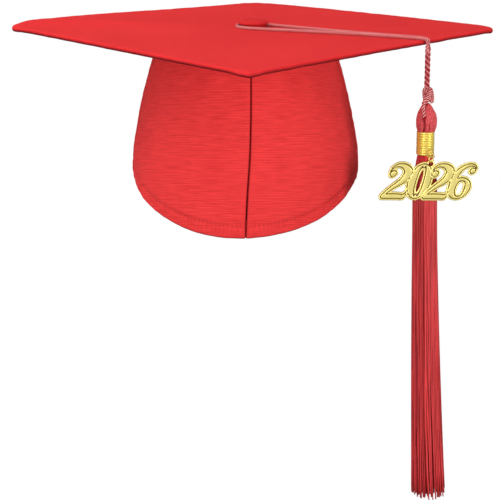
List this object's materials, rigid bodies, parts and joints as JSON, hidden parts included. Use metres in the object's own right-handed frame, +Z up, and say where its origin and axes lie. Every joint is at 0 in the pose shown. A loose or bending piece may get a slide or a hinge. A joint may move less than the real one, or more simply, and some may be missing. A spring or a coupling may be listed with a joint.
{
  "type": "graduation cap",
  "caption": "Square fabric-covered cap board on a soft head crown, with a covered button, looped cord, hanging tassel and a metal year charm.",
  "frame": {"origin": "on the button's axis, inside the head opening and level with the hem at the sides; the opening's own middle is 5.2 mm to -X", "axes": "+Z up out of the board's top face; -Y to the front, where the board's front corner and the crown's centre seam are; +X to the viewer's right from the front"},
  "size_m": [0.3294, 0.3327, 0.3254],
  "materials": {
    "board_fabric": "matte plain-weave polyester",
    "crown_fabric": "matte plain-weave polyester",
    "lining_tape": "matte tape",
    "sweat_fabric": "matte soft band",
    "elastic_web": "ribbed elastic",
    "label_fabric": "blank satin label",
    "panel_board": "plain stiff board",
    "button_metal": "plain",
    "steel": "plain",
    "cord_fibre": "twisted rayon, soft sheen",
    "tassel_fibre": "rayon threads, soft sheen",
    "gold_metal": "polished gold colour"
  },
  "bodies": {
    "cap": {"board_core": "panel_board", "cover_top": "board_fabric", "cover_bottom": "board_fabric", "crown_front_left": "crown_fabric", "crown_front_right": "crown_fabric", "crown_back": "crown_fabric", "crown_flange": "crown_fabric", "hem_facing": "crown_fabric", "seam_tape": "lining_tape", "sweatband": "sweat_fabric", "back_elastic": "elastic_web", "elastic_casing": "crown_fabric", "inside_label": "label_fabric", "button_shell": "button_metal", "button_cover": "board_fabric", "button_shank": "steel", "button_washer": "steel"},
    "loop": {"cord_loop": "cord_fibre"},
    "bend": {"cord_bend": "cord_fibre"},
    "tassel": {"cord_drop": "cord_fibre", "cord_knot": "cord_fibre", "tassel_head": "tassel_fibre", "tassel_band": "gold_metal", "tassel_skirt": "tassel_fibre", "tassel_bail": "gold_metal"},
    "ring": {"jump_ring": "gold_metal"},
    "charm": {"year_charm": "gold_metal"}
  },
  "joints": [
    {"name": "loop_turn", "type": "hinge", "parent": "cap", "child": "loop", "pos_m": [0, 0, 0.0943], "axis": [0, 0, 1], "range_deg": [-36.5, 0]},
    {"name": "tassel_swing", "type": "hinge", "parent": "loop", "child": "bend", "pos_m": [0.11466, -0.05733, 0.0897], "axis": [-0.4472, -0.8944, 0], "range_deg": [-8, 90]},
    {"name": "tassel_sway", "type": "hinge", "parent": "bend", "child": "tassel", "pos_m": [0.11466, -0.05733, 0.0897], "axis": [0.8944, -0.4472, 0], "range_deg": [-35, 35]},
    {"name": "ring_swing", "type": "hinge", "parent": "tassel", "child": "ring", "pos_m": [0.11766, -0.06633, 0.0175], "axis": [-1, 0, 0], "range_deg": [0, 70]},
    {"name": "charm_rock", "type": "hinge", "parent": "ring", "child": "charm", "pos_m": [0.11766, -0.06633, 0.01375], "axis": [0, 1, 0], "range_deg": [-18, 18]}
  ]
}
